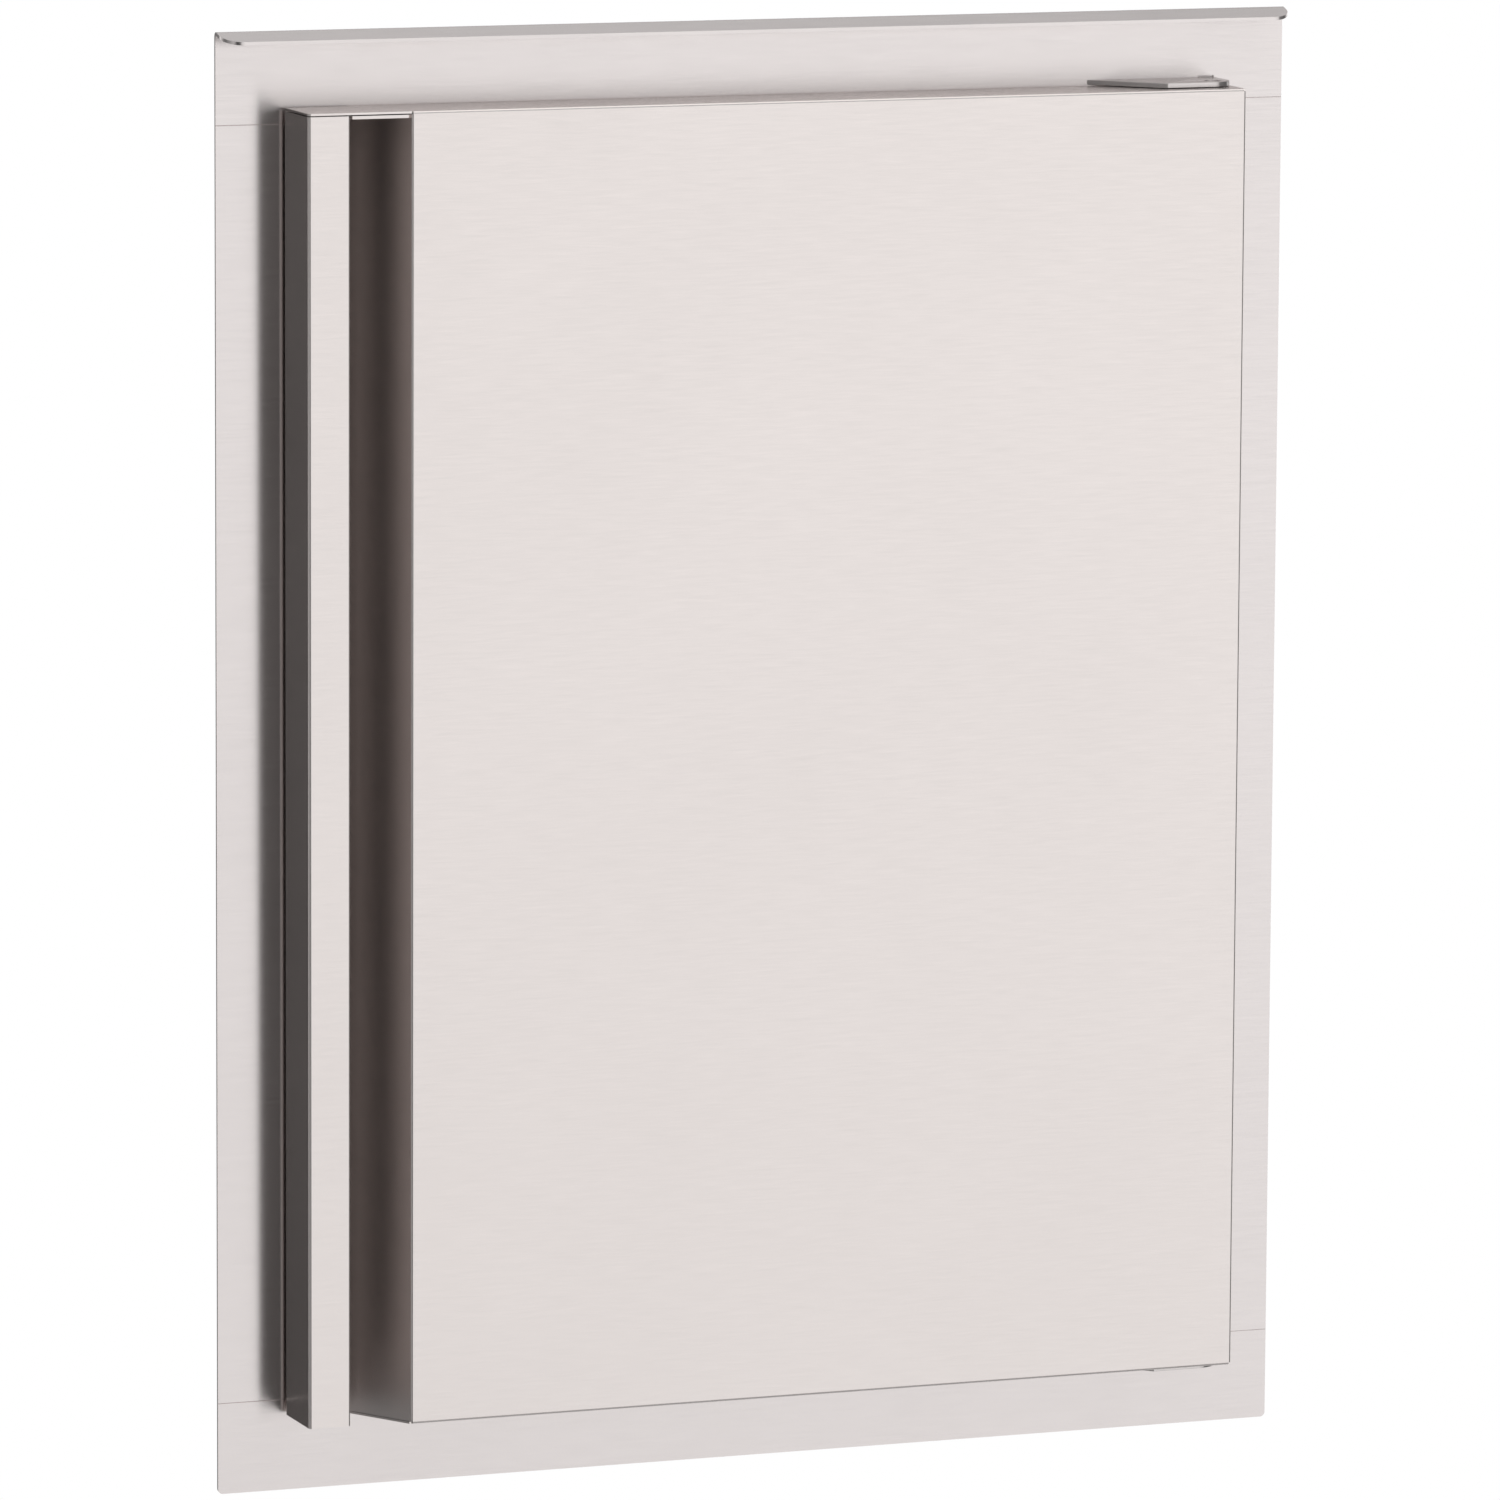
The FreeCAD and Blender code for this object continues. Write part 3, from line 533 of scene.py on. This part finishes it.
def rivetShape(bulbLength, shankLength):
    # a profile of radius and height turned round the axis, from the bulb at the far side of
    # the sheets, along the shank and over the dome (a quarter ellipse) to the broken mandrel
    step = np.linspace(0, np.pi / 2, rivet["domeRows"])
    seat = bulbLength + shankLength
    reach, rim = rivet["headRadius"] - rivet["hole"], rivet["rim"]
    dome = np.stack([rivet["hole"] + reach * np.cos(step),
                     seat + rim + (rivet["headHeight"] - rim) * np.sin(step)], -1)
    top = seat + rivet["headHeight"]
    stem, floorOfHole = top - rivet["mandrelDrop"], top - rivet["holeDepth"]
    before = [(rivet["bulbEnd"] * rivet["shank"], 0),
              (rivet["bulb"], rivet["bulbFrom"] * bulbLength),
              (rivet["bulb"], rivet["bulbTo"] * bulbLength),
              (rivet["bulbSeat"] * rivet["bulb"], bulbLength),
              (rivet["shank"], bulbLength), (rivet["shank"], seat), (rivet["headRadius"], seat)]
    outer, inner = (share * rivet["mandrel"] for share in rivet["breakRadii"])
    after = [(rivet["hole"], floorOfHole), (rivet["mandrel"], floorOfHole),
             (rivet["mandrel"], stem), (outer, stem + rivet["mandrelBreak"]), (inner, stem)]
    profile = np.concatenate([before, dome, after])
    columns = np.zeros(rivet["columns"])
    return turnedShape(profile[:, :1] + columns, profile[:, 1:] + columns)


def addFixings():
    low, high = np.array(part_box("catch_screws"))
    headRadius = (high[1] - low[1]) / 2
    middle = (low[1] + high[1]) / 2
    base = high[2] - screw["length"]
    across = (low[0] + headRadius, high[0] - headRadius)
    places = [(upright, (x, middle, base)) for x in across]
    places += [(overturned, (x, middle, -base)) for x in across]
    placePieces("catchScrewsTurned", screwShape(headRadius), places, "frame", "screw_steel",
                "catch_screws")
    nutLow, nutHigh = np.array(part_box("catch_nuts"))
    seat = nutHigh[2] - nut["height"]
    places = [(upright, (x, middle, seat)) for x in across]
    places += [(overturned, (x, middle, -seat)) for x in across]
    placePieces("catchNutsChamfered", nutShape((nutHigh[1] - nutLow[1]) / 2), places, "frame",
                "screw_steel", "catch_nuts")
    low, high = np.array(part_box("strike_rivets"))
    across = (low[0] + rivet["headRadius"], high[0] - rivet["headRadius"])
    bulbLength = 2 * rivet["shank"]
    shankLength = high[1] - low[1] - bulbLength - rivet["headHeight"]
    up = high[2] - rivet["headRadius"]
    places = [(towardsBack, (x, low[1], z)) for x in across for z in (up, -up)]
    placePieces("strikeRivetsDomed", rivetShape(bulbLength, shankLength), places, "door",
                "screw_steel", "strike_rivets")


addFixings()
print("fixings made")

# Spring round the top pin: closed end turns
spring = {
    "turns": 6.5,
    "closedTurns": 0.8,         # at each end, where one turn lies on the next
    "opening": 0.5,             # turns over which it opens to its full pitch
    "closedPitch": 1.02,        # in wires
    "wire": 1.0 * mm,
    "travel": 5.0 * mm,
    "ringsPerTurn": 40,
    "columns": 14,
}


def springShape(radius, rise):
    # Helix: the middle of each ring is radius times cosine and sine of its turn. Its height
    # is the running sum of the pitch, which is small near both ends. A ring is a circle of
    # the wire, square to the helix.
    count, wire = spring["turns"], spring["wire"]
    turns = np.linspace(0, count, int(count * spring["ringsPerTurn"]) + 1)
    share = (np.minimum(turns, count - turns) - spring["closedTurns"]) / spring["opening"]
    share = np.clip(share, 0, 1)
    opened = share * share * (3 - 2 * share)
    sums = np.concatenate([[0], np.cumsum((opened[1:] + opened[:-1]) / 2 * np.diff(turns))])
    closed = spring["closedPitch"] * wire
    extra = (rise - closed * count) / sums[-1]
    height = closed * turns + extra * sums
    climb = (closed + extra * opened) / (2 * np.pi)
    length = np.sqrt(radius ** 2 + climb ** 2)
    along, up = radius / length, climb / length
    angle = 2 * np.pi * turns
    outward = np.stack([np.cos(angle), np.sin(angle), 0 * angle], -1)
    across = np.stack([-up * np.sin(angle), up * np.cos(angle), -along], -1)
    middle = np.stack([radius * np.cos(angle), radius * np.sin(angle), height], -1)
    around = np.linspace(0, 2 * np.pi, spring["columns"], endpoint=False)[None, :, None]
    grid = middle[:, None] + wire / 2 * (outward[:, None] * np.cos(around)
                                         + across[:, None] * np.sin(around))
    return closedTube(grid)


def addSpring():
    low, high = np.array(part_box("pin_spring"))
    wire = spring["wire"]
    middle = (low + high) / 2
    shape = springShape((high[1] - low[1] - wire) / 2, high[2] - low[2] - wire)
    places = [(upright, (middle[0], middle[1], low[2] + wire / 2))]
    coil = placePieces("pinSpringCoiled", shape, places, "door", "spring_steel", "pin_spring")
    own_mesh(coil)
    print("spring: coiled,", round((high[2] - low[2]) / mm, 1), "mm long")


addSpring()

# Pieces whose edges are broken or moulded round: body and the radius of their edges
softened = {
    "top_catch_case": ("frame", 0.5 * mm),
    "bottom_catch_case": ("frame", 0.5 * mm),
    "top_hinge_plate": ("frame", 0.12 * mm),
    "bottom_hinge_plate": ("frame", 0.12 * mm),
    "top_strike_plate": ("door", 0.25 * mm),
    "bottom_strike_plate": ("door", 0.25 * mm),
}
softening = {
    "merge": 0.001 * mm,    # corners of the triangles nearer than this are one
    "flat": 1,              # degrees within which triangles are one face
    "bevelFrom": 40,        # degrees between faces whose edge is rounded
    "sharpFrom": 30,
    "segments": 2,
}


def addSoftened(node, body, width):
    # a copy of the CAD node, its triangles merged into whole faces, with rounded edges
    source = frame["nodes"][node]
    shape = bmesh.new()
    shape.from_mesh(source.data)
    bmesh.ops.remove_doubles(shape, verts=shape.verts, dist=softening["merge"])
    bmesh.ops.dissolve_limit(shape, angle_limit=math.radians(softening["flat"]),
                             verts=shape.verts, edges=shape.edges)
    mesh = bpy.data.meshes.new(node + "Soft")
    shape.to_mesh(mesh)
    shape.free()
    mesh.polygons.foreach_set("use_smooth", np.ones(len(mesh.polygons), bool))
    mesh.set_sharp_from_angle(angle=math.radians(softening["sharpFrom"]))
    piece = bpy.data.objects.new(node + "Soft", mesh)
    bpy.context.scene.collection.objects.link(piece)
    mesh.materials.append(source.data.materials[0])
    edges = piece.modifiers.new("edges", "BEVEL")
    edges.width, edges.segments = width, softening["segments"]
    edges.limit_method, edges.angle_limit = "ANGLE", math.radians(softening["bevelFrom"])
    edges.harden_normals = True
    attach(piece, body)
    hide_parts(node)


for node, (body, width) in softened.items():
    addSoftened(node, body, width)
print("edges softened:", len(softened))

# Studio: how bright the room is all round, as (degrees, brightness), where 1 is white.
# Azimuth 0 is straight out of the door's face and grows to the right.
studio = {
    "azimuth": [(-180, 0.8), (-172, 0.6), (-165, 0.15), (-151, 0.16), (-134, 0.8),
                (-118, 0.5), (-105, 0.2), (-90, 0.17), (-68, 0.31), (-50, 0.48), (-44, 0.47),
                (-36, 0.31), (-25, 0.065), (-18, 0.057), (-8, 0.11), (8, 0.86), (18, 1),
                (26, 1.04), (40, 0.86), (56, 0.19), (95, 0.12), (122, 0.66), (140, 0.8),
                (180, 0.8)],
    "height": [(-90, 0.18), (-40, 0.24), (-26, 0.55), (-14, 0.96), (-8.4, 1.12), (-3, 1.22),
               (3, 1.25), (7, 1), (11, 0.52), (18, 0.34), (30, 0.3), (50, 0.74), (90, 1.1)],
    "darkHeight": [(-90, 0.05), (-40, 0.1), (-24, 0.3), (-12, 0.6), (-6, 1), (0, 1.65),
                   (8, 2.4), (16, 2.8), (30, 2), (50, 1.2), (90, 1.1)],
    # The rows below are pairs of degrees that something changes between. On each side of the
    # dark zone, darkHeight gives way to height.
    "darkEnds": [(-6, 6), (-34, -50)],
    "roofRise": (30, 60),   # up where the walls give way to the ceiling
    "roof": 1.15,
    # where metal begins to see the white backdrop, and where it sees all of it: behind the
    # door, below the horizon
    "backdropSides": [(-170, -178), (124, 138)],
    "backdropTop": (-3, -10),
}


def brightness(tree, angle, stops):
    # stops are (degrees, brightness) over all that the angle can be
    first, last = stops[0][0], stops[-1][0]
    share = remap(tree, angle, math.radians(first), math.radians(last))
    return ramp(tree, share, [((degrees - first) / (last - first), level)
                              for degrees, level in stops])


def rise(tree, angle, ends):
    # a smooth step from 0 to 1 between two angles in degrees
    begin, full = ends
    return remap(tree, angle, math.radians(begin), math.radians(full), smooth=True)


def whiteShare(tree, metalShare):
    # how much of the added white a ray sees: all from the camera or through glass,
    # metalShare where metal mirrors it, and none where it would light the object
    path = addNode(tree, "ShaderNodeLightPath").outputs
    direct = calc(tree, "MAXIMUM", path["Is Camera Ray"], path["Is Transmission Ray"])
    return calc(tree, "MAXIMUM", direct,
                calc(tree, "MULTIPLY", path["Is Glossy Ray"], metalShare))


def addWorld():
    world = bpy.data.worlds.new("studio")
    bpy.context.scene.world = world
    world.use_nodes = True
    tree = world.node_tree
    background = next(n for n in tree.nodes if n.type == "BACKGROUND")
    coords = addNode(tree, "ShaderNodeTexCoord")
    split = addNode(tree, "ShaderNodeSeparateXYZ", {0: coords.outputs["Generated"]})
    x, y, z = split.outputs
    azimuth = calc(tree, "ARCTAN2", x, calc(tree, "MULTIPLY", y, -1.0))
    height = calc(tree, "ARCSINE", z)
    bright = calc(tree, "MAXIMUM", *(rise(tree, azimuth, ends) for ends in studio["darkEnds"]))
    upDown = blendValues(tree, bright, brightness(tree, height, studio["darkHeight"]),
                         brightness(tree, height, studio["height"]))
    walls = calc(tree, "MULTIPLY", brightness(tree, azimuth, studio["azimuth"]), upDown)
    room = blendValues(tree, rise(tree, height, studio["roofRise"]), walls, studio["roof"])
    sides = calc(tree, "MAXIMUM",
                 *(rise(tree, azimuth, ends) for ends in studio["backdropSides"]))
    behind = calc(tree, "MULTIPLY", sides, rise(tree, height, studio["backdropTop"]))
    tree.links.new(blendValues(tree, whiteShare(tree, behind), room, 1.0),
                   background.inputs["Strength"])
    background.inputs["Color"].default_value = white


# Floor: a disc well below the door
floor = {
    "below": 1.1,           # from the lowest point of the object
    "radius": 1.0,
    "sides": 96,
    "colour": 0.35,
    "rough": 0.9,
    "lift": 0.78,           # added for the camera and glass, so that the floor looks white
    "metalLift": 0.22,      # the share of it that metal sees
}


def addFloor():
    # disc: points at radius times cosine and sine of even angles, in one face
    angles = np.linspace(0, 2 * np.pi, floor["sides"], endpoint=False)
    points = np.zeros((floor["sides"], 3))
    points[:, 0] = floor["radius"] * np.cos(angles)
    points[:, 1] = floor["radius"] * np.sin(angles)
    points[:, 2] = cadLow[2] - floor["below"]
    mesh = bpy.data.meshes.new("floor")
    mesh.from_pydata(points.tolist(), [], [list(range(floor["sides"]))])
    disc = bpy.data.objects.new("floor", mesh)
    bpy.context.scene.collection.objects.link(disc)
    material, tree, shader = newMaterial("floor")
    shader.inputs["Base Color"].default_value = shaded(white, floor["colour"])
    shader.inputs["Roughness"].default_value = floor["rough"]
    shader.inputs["Specular IOR Level"].default_value = 0
    tree.links.new(calc(tree, "MULTIPLY", whiteShare(tree, floor["metalLift"]), floor["lift"]),
                   shader.inputs["Emission Strength"])
    shader.inputs["Emission Color"].default_value = white
    material.cycles.emission_sampling = "NONE"
    mesh.materials.append(material)


addWorld()
addFloor()
bpy.context.scene.view_settings.view_transform = "Standard"
print("studio made")
